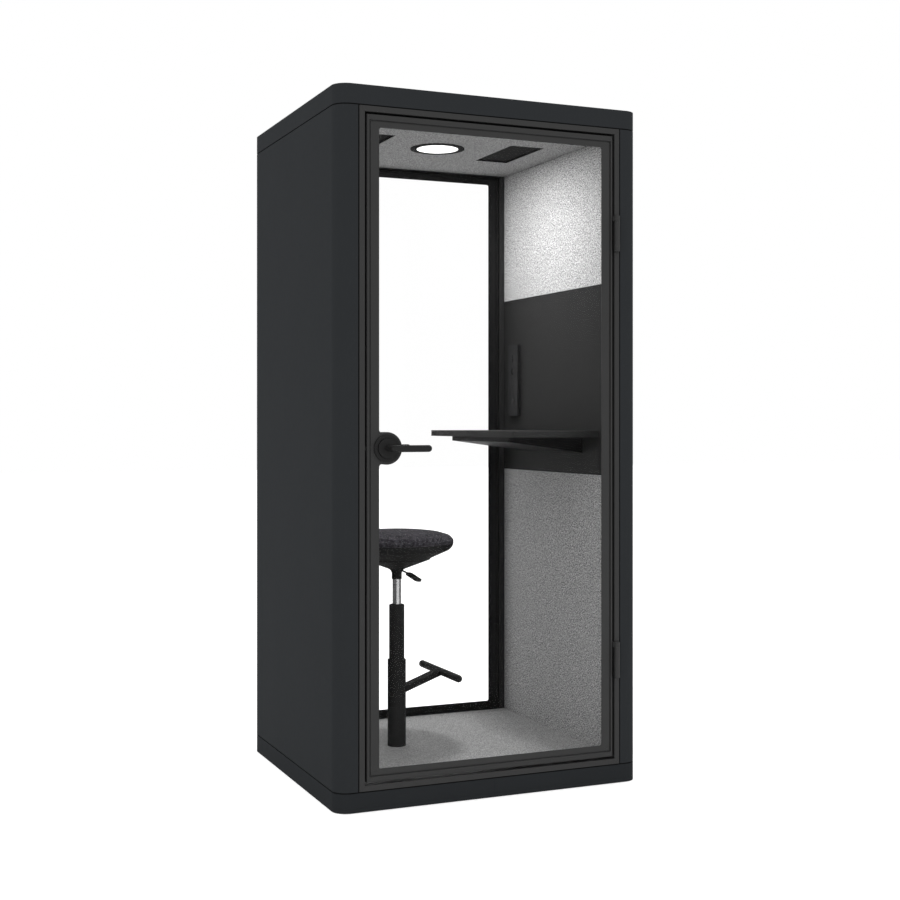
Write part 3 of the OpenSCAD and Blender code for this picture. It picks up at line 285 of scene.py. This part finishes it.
def melange_cloth(name, dark, light, warm):
    """Woven wool: threads over and under on the piece's own UV map, fibres and darker slubs."""
    material, tree = new_material(name)
    thread = 1.5 * MM
    flat = add(tree, "ShaderNodeUVMap", uv_map="weave").outputs["UV"]
    weave = []
    for direction in ("X", "Y"):
        inputs = {"Vector": flat, "Scale": 0.5 / thread, "Distortion": 0.6, "Detail": 1.0}
        weave.append(add(tree, "ShaderNodeTexWave", inputs, wave_type="BANDS",
                         bands_direction=direction).outputs["Fac"])
    over = calculate(tree, "MULTIPLY", *weave)
    fibres = noise(tree, place(tree), 1.3 * MM, 3.0, 0.75)
    slubs = place(tree, (1, 0.3, 1))
    flecks = noise(tree, slubs, 7 * MM, 3.0, 0.7)
    patches = noise(tree, slubs, 12 * MM, 3.0, 0.7)
    base = mix_tones(tree, remap(tree, fibres, 0.0, 1.0, 0.36, 0.68), dark, light)
    base = mix_tones(tree, remap(tree, flecks, 0.0, 0.8, 0.5, 0.57), base, shade(dark, 0.75))
    base = mix_tones(tree, remap(tree, patches, 0.0, 0.8, 0.5, 0.58), base, warm)
    base = mix_tones(tree, remap(tree, over, 0.25, 0.0), base, shade(dark, 0.6))
    rise = calculate(tree, "ADD", over, fibres)
    surface(tree, {
        "Base Color": base,
        "Roughness": 0.92,
        "Specular IOR Level": 0.04,
        "Sheen Weight": 0.06,
        "Sheen Roughness": 0.5,
        "Normal": bump(tree, rise, 0.5 * MM, 0.7),
    })
    return material


CHARCOAL = tone(48, 50, 52)
GRAPHITE = tone(50, 50, 50)

RECIPES = {
    "shell_coat": (powder_coat, dict(colour=CHARCOAL)),
    "plinth_coat": (powder_coat, dict(colour=tone(44, 46, 48))),
    "frame_coat": (powder_coat, dict(colour=GRAPHITE, rough=0.5, gloss=0.2)),
    "rear_coat": (powder_coat, dict(colour=tone(45, 45, 45), rough=0.55, gloss=0.08)),
    # Painted shade: the rear sash and its bead are a darker copy of the frame coat, standing in for
    # the shade they lie in.
    "sash_coat": (powder_coat, dict(colour=tone(31, 31, 31), rough=0.6)),
    "black_coat": (powder_coat, dict(colour=tone(42, 42, 42), rough=0.6, gloss=0.03)),
    "bracket_coat": (powder_coat, dict(colour=tone(25, 25, 26), rough=0.55, gloss=0.08)),
    "screen_coat": (powder_coat, dict(colour=tone(56, 56, 56), rough=0.5, gloss=0.1, grain=0.5 * MM)),
    "lever_coat": (powder_coat, dict(colour=tone(35, 35, 35), rough=0.45, gloss=0.12, grain=0.5 * MM)),
    # Painted light: the seat's height lever is black, but its coat is lighter than the door levers' to
    # make up for the shade under the seat.
    "paddle_coat": (powder_coat, dict(colour=tone(58, 58, 58), rough=0.6, gloss=0.03, grain=0.5 * MM)),
    "lamp_coat": (powder_coat, dict(colour=tone(46, 46, 47))),
    "wall_felt": (pressed_felt, dict(colour=tone(171, 171, 171), grain=4.5 * MM, contrast=0.8)),
    "ceiling_felt": (pressed_felt, dict(colour=tone(163, 163, 163), grain=5 * MM, contrast=0.7)),
    "carpet": (pressed_felt, dict(colour=tone(170, 170, 170), grain=3.6 * MM, contrast=0.6)),
    "core_wool": (pressed_felt, dict(colour=tone(120, 112, 88), grain=7 * MM, contrast=0.3,
                                     depth=2 * MM)),
    "wall_laminate": (laminate, dict(colour=tone(40, 40, 40))),
    "table_laminate": (laminate, dict(colour=tone(52, 52, 52))),
    # Partly painted shade: the floor slab and roof deck are a near-black board, dark also so that the
    # seams at the plinth and under the roof cap show as dark shadow gaps.
    "coated_board": (laminate, dict(colour=tone(20, 20, 20), rough=0.6)),
    "black_plastic": (moulded_plastic, dict(colour=tone(43, 43, 43), rough=0.6, gloss=0.01)),
    "strip_plastic": (moulded_plastic, dict(colour=tone(34, 34, 35), rough=0.5, gloss=0.12)),
    "socket_plastic": (moulded_plastic, dict(colour=tone(20, 20, 20), rough=0.4, gloss=0.2)),
    "seal_rubber": (rubber, dict(colour=tone(18, 18, 18))),
    "steel": (metal, dict(colour=tone(170, 172, 174), rough=0.32)),
    "gas_chrome": (metal, dict(colour=tone(172, 172, 173), rough=0.22, along=(1, 1, 0.05))),
    "seat_plywood": (plywood, dict(light=tone(205, 178, 138), dark=tone(160, 128, 90))),
    "glass": (clear_glass, {}),
    "lamp_opal": (opal, dict(strength=1.6)),
    "seat_cloth": (melange_cloth, dict(dark=tone(33, 32, 36), light=tone(87, 85, 91),
                                       warm=tone(84, 80, 86))),
}

FINISHES = {name: make(name, **values) for name, (make, values) in RECIPES.items()}

NODE_FINISHES = {
    "shell_coat": "side_shell_left side_shell_right roof_cap",
    "plinth_coat": "plinth_skirt",
    "frame_coat": "door_jamb leaf_frame glazing_bead lock_case hinge_bases hinge_arms",
    "rear_coat": "rear_jamb",
    "sash_coat": "rear_sash rear_bead",
    "black_coat": "stool_flange lower_tube upper_tube footrest vent_grilles strike_plate fasteners",
    "bracket_coat": "table_bracket",
    "lever_coat": "lever_outside lever_inside roses",
    "paddle_coat": "height_lever",
    "lamp_coat": "lamp_body",
    "wall_felt": "felt_left felt_right_upper felt_right_lower",
    "ceiling_felt": "ceiling_panel",
    "carpet": "floor_carpet",
    "core_wool": "wall_cores",
    "wall_laminate": "media_panel",
    "table_laminate": "table_top",
    "coated_board": "floor_slab roof_deck",
    "black_plastic": "guide_bush seat_hub seat_shell fan_frames fan_rotor_left fan_rotor_right",
    "strip_plastic": "power_strip",
    "socket_plastic": "socket_inserts light_button fan_button",
    "seal_rubber": "wall_seals rear_gasket door_gasket",
    "steel": "levelling_feet spindle thrust_bearing",
    "gas_chrome": "piston_rod pressure_tube latch_bolt",
    "seat_plywood": "seat_board",
    "glass": "door_glass rear_glass",
    "lamp_opal": "lamp_diffuser",
    "seat_cloth": "seat_cushion",
}


def dress_solids():
    for finish, names in NODE_FINISHES.items():
        for name in names.split():
            mesh = NODES[name].data
            mesh.materials.clear()
            mesh.materials.append(FINISHES[finish])


# Seat cushion


def merged_copy(node):
    """Mesh of a node's surface with its loose triangles joined."""
    shell = bmesh.new()
    shell.from_mesh(NODES[node].data)
    bmesh.ops.remove_doubles(shell, verts=shell.verts, dist=0.02 * MM)
    mesh = bpy.data.meshes.new(node + "_copy")
    shell.to_mesh(mesh)
    shell.free()
    return mesh


def new_piece(name, mesh, finish):
    mesh.materials.append(FINISHES[finish])
    piece = bpy.data.objects.new(name, mesh)
    bpy.context.scene.collection.objects.link(piece)
    return piece


def settle(piece):
    """The piece's mesh as its modifiers leave it, with the modifiers taken off."""
    view = bpy.context.evaluated_depsgraph_get()
    view.update()
    done = bpy.data.meshes.new_from_object(piece.evaluated_get(view))
    piece.modifiers.clear()
    spent = piece.data
    piece.data = done
    bpy.data.meshes.remove(spent)
    done.name = piece.name


def take_in(mesh, low, high, sides, top):
    """Make a round pad smaller: by sides at its widest, and by top at its crown."""
    centre = (low + high) / 2
    thin = 1 - sides / (high.x - centre.x)
    flat = 1 - top / (high.z - low.z)
    for vertex in mesh.vertices:
        spot = vertex.co
        vertex.co = (centre.x + (spot.x - centre.x) * thin, centre.y + (spot.y - centre.y) * thin,
                     low.z + (spot.z - low.z) * flat)


def inflate(piece, pressure, cap, pinned_below, frames=20):
    """Blow a pad up as cloth, with its foot pinned and no point moved further than cap."""
    pins = piece.vertex_groups.new(name="foot")
    foot = [v.index for v in piece.data.vertices if v.co.z < pinned_below]
    pins.add(foot, 1.0, "REPLACE")
    start = [v.co.copy() for v in piece.data.vertices]
    cloth = piece.modifiers.new("cloth", "CLOTH")
    cloth.settings.use_pressure = True
    cloth.settings.uniform_pressure_force = pressure
    cloth.settings.vertex_group_mass = "foot"
    cloth.settings.effector_weights.gravity = 0
    cloth.collision_settings.use_collision = False
    cloth.point_cache.frame_start = 1
    cloth.point_cache.frame_end = frames
    for frame in range(1, frames + 1):
        bpy.context.scene.frame_set(frame)
    settle(piece)
    bpy.context.scene.frame_set(1)
    piece.vertex_groups.clear()
    for vertex, before in zip(piece.data.vertices, start):
        step = vertex.co - before
        if step.length > cap:
            vertex.co = before + step * (cap / step.length)


def weave_map(mesh, centre, flat_r, side_r, side_z):
    """UV map in metres along the cloth: across the top to flat_r, then down round the side."""
    layer = mesh.uv_layers.new(name="weave")
    for loop in mesh.loops:
        spot = mesh.vertices[loop.vertex_index].co
        across = Vector((spot.x - centre.x, spot.y - centre.y))
        far = across.length
        if far > flat_r:
            turn = math.atan2(far - flat_r, spot.z - side_z)
            across *= (flat_r + side_r * turn) / far
        layer.data[loop.index].uv = across


def square_foot(mesh, centre, floor_z, rise, from_r, foot_r):
    """Set the lowest rise of a round pad flat on its seat, and widen it there to foot_r."""
    foot = [v for v in mesh.vertices if v.co.z < floor_z + rise]
    reach = max(math.hypot(v.co.x - centre.x, v.co.y - centre.y) for v in foot)
    for vertex in foot:
        vertex.co.z = floor_z
        across = Vector((vertex.co.x - centre.x, vertex.co.y - centre.y))
        if across.length > from_r:
            share = (across.length - from_r) / (reach - from_r)
            across *= (from_r + share * (foot_r - from_r)) / across.length
            vertex.co.x = centre.x + across.x
            vertex.co.y = centre.y + across.y


def make_cushion():
    """Round pad of wool over foam: blown up a little from a smaller shape, flat on the board."""
    low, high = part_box("seat_cushion")
    centre = (low + high) / 2
    piece = new_piece("seat_pad", merged_copy("seat_cushion"), "seat_cloth")
    take_in(piece.data, low, high, sides=0.6 * MM, top=2.5 * MM)
    remesh = piece.modifiers.new("remesh", "REMESH")
    remesh.mode = "VOXEL"
    remesh.voxel_size = 5 * MM
    settle(piece)
    inflate(piece, pressure=4.0, cap=2.4 * MM, pinned_below=low.z + 12 * MM)
    smooth = piece.modifiers.new("smooth", "SUBSURF")
    smooth.levels = 1
    smooth.render_levels = 1
    settle(piece)
    square_foot(piece.data, centre, floor_z=low.z, rise=4 * MM, from_r=190 * MM, foot_r=202 * MM)
    for polygon in piece.data.polygons:
        polygon.use_smooth = True
    weave_map(piece.data, centre, flat_r=176 * MM, side_r=27 * MM, side_z=low.z + 7 * MM)
    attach(piece, "seat")
    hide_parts("seat_cushion")


# What repeats


def start_tree(name, inputs):
    """Geometry Nodes tree, the sockets that its inputs feed, and each input's identifier."""
    tree = bpy.data.node_groups.new(name, "GeometryNodeTree")
    keys = {}
    for label, kind in inputs.items():
        socket = tree.interface.new_socket(label, in_out="INPUT", socket_type="NodeSocket" + kind)
        keys[label] = socket.identifier
    tree.interface.new_socket("Geometry", in_out="OUTPUT", socket_type="NodeSocketGeometry")
    return tree, tree.nodes.new("NodeGroupInput").outputs, keys


def end_tree(tree, geometry, finish):
    whole = add(tree, "GeometryNodeRealizeInstances", {"Geometry": geometry}).outputs["Geometry"]
    done = add(tree, "GeometryNodeSetMaterial", {"Geometry": whole, "Material": finish})
    add(tree, "NodeGroupOutput", {"Geometry": done.outputs["Geometry"]})


def point(tree, x=0.0, y=0.0, z=0.0):
    return add(tree, "ShaderNodeCombineXYZ", {"X": x, "Y": y, "Z": z}).outputs["Vector"]


def grow(name, mesh, tree, keys, values, finish, body):
    """A plain mesh from a tree, with the tree's inputs set, that rides on a body."""
    piece = new_piece(name, mesh, finish)
    modifier = piece.modifiers.new("tree", "NODES")
    modifier.node_group = tree
    for label, value in values.items():
        modifier[keys[label]] = value
    modifier[keys["Finish"]] = FINISHES[finish]
    settle(piece)
    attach(piece, body)


def wire_cloth_tree():
    """Two layers of straight wires that cross over an opening, for two openings side by side."""
    tree, feed, keys = start_tree("wire_cloth", {
        "Width": "Float", "Length": "Float", "Pitch": "Float", "Wire": "Float", "Height": "Float",
        "Apart": "Float", "Finish": "Material",
    })
    layers = add(tree, "GeometryNodeJoinGeometry")
    right_angle = math.radians(90)
    radii_apart = 1.8  # how far the second layer lies under the first, in radii of the wire
    for across, along, turn, radii_down in (
        ("Width", "Length", (right_angle, 0, 0), 0.0),
        ("Length", "Width", (0, right_angle, 0), radii_apart),
    ):
        count = calculate(tree, "FLOOR", calculate(tree, "DIVIDE", feed[across], feed["Pitch"]), 0.0)
        span = calculate(tree, "SUBTRACT", feed[across], feed["Pitch"])
        reach = calculate(tree, "MULTIPLY", span, 0.5)
        back = calculate(tree, "MULTIPLY", reach, -1.0)
        down = calculate(tree, "MULTIPLY", feed["Wire"], radii_down)
        height = calculate(tree, "SUBTRACT", feed["Height"], down)
        axis = "x" if across == "Width" else "y"
        places = add(tree, "GeometryNodeMeshLine", {
            "Count": count, "Start Location": point(tree, **{axis: back, "z": height}),
            "Offset": point(tree, **{axis: reach, "z": height}),
        }, mode="END_POINTS")
        wire = add(tree, "GeometryNodeMeshCylinder", {
            "Vertices": 6, "Radius": feed["Wire"], "Depth": feed[along],
        })
        row = add(tree, "GeometryNodeInstanceOnPoints", {
            "Points": places.outputs["Mesh"], "Instance": wire.outputs["Mesh"], "Rotation": turn,
        })
        tree.links.new(row.outputs["Instances"], layers.inputs["Geometry"])
    left = calculate(tree, "MULTIPLY", feed["Apart"], -1.0)
    pair = add(tree, "GeometryNodeMeshLine", {
        "Count": 2, "Start Location": point(tree, x=left), "Offset": point(tree, x=feed["Apart"]),
    }, mode="END_POINTS")
    both = add(tree, "GeometryNodeInstanceOnPoints", {
        "Points": pair.outputs["Mesh"], "Instance": layers.outputs["Geometry"],
    })
    end_tree(tree, both.outputs["Instances"], feed["Finish"])
    return tree, keys


def screw_tree():
    """A flat round screw head with a recess on every point, facing the way the point says."""
    recess_share = 0.45
    tree, feed, keys = start_tree("screw_heads", {
        "Spots": "Geometry", "Radius": "Float", "Height": "Float", "Recess": "Float",
        "Finish": "Material",
    })
    depth = calculate(tree, "MULTIPLY", feed["Height"], 2.0)
    head = add(tree, "GeometryNodeMeshCylinder", {
        "Vertices": 24, "Radius": feed["Radius"], "Depth": depth,
    })
    inset = add(tree, "GeometryNodeExtrudeMesh", {
        "Mesh": head.outputs["Mesh"], "Selection": head.outputs["Top"], "Offset Scale": 0.0,
    })
    rim = add(tree, "GeometryNodeScaleElements", {
        "Geometry": inset.outputs["Mesh"], "Selection": inset.outputs["Top"], "Scale": recess_share,
    })
    inward = calculate(tree, "MULTIPLY", feed["Recess"], -1.0)
    pit = add(tree, "GeometryNodeExtrudeMesh", {
        "Mesh": rim.outputs["Geometry"], "Selection": inset.outputs["Top"], "Offset Scale": inward,
    })
    facing = add(tree, "GeometryNodeInputNamedAttribute", {"Name": "facing"},
                 data_type="FLOAT_VECTOR")
    turn = add(tree, "FunctionNodeAlignRotationToVector", {"Vector": facing.outputs["Attribute"]},
               axis="Z")
    heads = add(tree, "GeometryNodeInstanceOnPoints", {
        "Points": feed["Spots"], "Instance": pit.outputs["Mesh"], "Rotation": turn.outputs["Rotation"],
    })
    end_tree(tree, heads.outputs["Instances"], feed["Finish"])
    return tree, keys


def screw_spots(name, spots):
    """Mesh of loose points, each with the direction its screw faces."""
    mesh = bpy.data.meshes.new(name)
    mesh.from_pydata([spot for spot, facing in spots], [], [])
    facings = mesh.attributes.new("facing", "FLOAT_VECTOR", "POINT")
    for item, (spot, facing) in zip(facings.data, spots):
        item.vector = facing
    return mesh


def make_screens():
    """Wire cloth in both air grilles, right under their slotted sheets."""
    low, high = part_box("vent_grilles")
    grille_wide = 130 * MM
    grille_wall = 2 * MM
    over_foot = 8.4 * MM
    tree, keys = wire_cloth_tree()
    grow("vent_screens", bpy.data.meshes.new("vent_screens"), tree, keys, {
        "Width": grille_wide - 2 * grille_wall, "Length": high.y - low.y - 2 * grille_wall,
        "Pitch": 3 * MM, "Wire": 0.5 * MM, "Height": low.z + over_foot,
        "Apart": high.x - grille_wide / 2,
    }, "screen_coat", "cabin")


def make_screws():
    """Screws of the strike plate, and of the hinge arms on the edge of the leaf."""
    tree, keys = screw_tree()
    sizes = {"Radius": 2.6 * MM, "Height": 0.4 * MM, "Recess": 0.5 * MM}
    right = (1, 0, 0)
    low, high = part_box("strike_plate")
    middle = (low.y + high.y) / 2
    from_end = 7 * MM
    spots = [((high.x, middle, z), right) for z in (low.z + from_end, high.z - from_end)]
    grow("strike_screws", screw_spots("strike_screws", spots), tree, keys, sizes, "steel", "cabin")
    low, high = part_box("hinge_arms")
    arm_thick = 4.5 * MM
    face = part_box("leaf_frame")[1].x + arm_thick
    half_knuckle = 8.5 * MM
    setbacks = (9 * MM, 23 * MM)
    spots = [((face, high.y - back, z), right) for back in setbacks
             for z in (low.z + half_knuckle, high.z - half_knuckle)]
    grow("hinge_screws", screw_spots("hinge_screws", spots), tree, keys, sizes, "black_coat", "door")


# Camera, light and floor


EYE = (-1.9469, -4.6382, 1.2341)
HEADING = -23.292  # degrees from facing the back of the pod
LENS = 55.816
SENSOR = 36.0
SHIFT = -0.03118
SIGHT = 100.0

FLOOR_SIZE = 60.0
FLOOR_GLOW = 0.62

LAMP_POWER = 11.5
LAMP_WIDE = 146 * MM
LAMP_GAP = 0.5 * MM


def make_camera():
    """Level camera at the height and angle of the view, with its frame shifted a little."""
    data = bpy.data.cameras.new("camera")
    data.lens = LENS
    data.sensor_width = SENSOR
    data.shift_y = SHIFT
    data.clip_end = SIGHT
    camera = bpy.data.objects.new("camera", data)
    camera.location = EYE
    camera.rotation_euler = (math.radians(90), 0, math.radians(HEADING))
    bpy.context.scene.collection.objects.link(camera)
    bpy.context.scene.camera = camera


def make_world():
    """Even white light from all sides."""
    world = bpy.data.worlds.new("studio")
    world.use_nodes = True
    tree = world.node_tree
    tree.nodes.clear()
    sky = add(tree, "ShaderNodeBackground", {"Color": (1, 1, 1, 1), "Strength": 1.0})
    add(tree, "ShaderNodeOutputWorld", {"Surface": sky.outputs["Background"]})
    bpy.context.scene.world = world


def make_floor():
    """Pale floor that shows white to the eye, apart from the pod's shadow on it."""
    material, tree = new_material("studio_floor")
    rays = add(tree, "ShaderNodeLightPath")
    eye = rays.outputs["Is Camera Ray"]
    for name in ("Is Glossy Ray", "Is Transmission Ray"):
        eye = calculate(tree, "MAXIMUM", eye, rays.outputs[name])
    grain = noise(tree, place(tree), 30 * MM, 2.0)
    matt = add(tree, "ShaderNodeBsdfDiffuse", {
        "Color": mix_tones(tree, grain, tone(228, 228, 228), tone(230, 230, 230)),
    })
    glow = add(tree, "ShaderNodeEmission", {
        "Strength": calculate(tree, "MULTIPLY", eye, FLOOR_GLOW),
    })
    both = add(tree, "ShaderNodeAddShader", {0: matt.outputs[0], 1: glow.outputs[0]})
    add(tree, "ShaderNodeOutputMaterial", {"Surface": both.outputs[0]})
    bpy.ops.mesh.primitive_plane_add(size=FLOOR_SIZE, location=(0, 0, 0))
    floor = bpy.context.active_object
    floor.name = "studio_floor"
    floor.data.materials.append(material)


def make_lamp():
    """Round lamp right under the ceiling lamp's body, which is felt as light but isn't seen."""
    data = bpy.data.lights.new("ceiling_lamp", "AREA")
    data.shape = "DISK"
    data.size = LAMP_WIDE
    data.energy = LAMP_POWER
    lamp = bpy.data.objects.new("ceiling_lamp", data)
    lamp.location = (0, 0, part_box("lamp_body")[0].z - LAMP_GAP)
    lamp.visible_camera = False
    lamp.visible_glossy = False
    lamp.visible_transmission = False
    bpy.context.scene.collection.objects.link(lamp)


dress_solids()
make_cushion()
make_screens()
make_screws()
make_camera()
make_world()
make_floor()
make_lamp()

bpy.context.scene.view_settings.view_transform = "Standard"
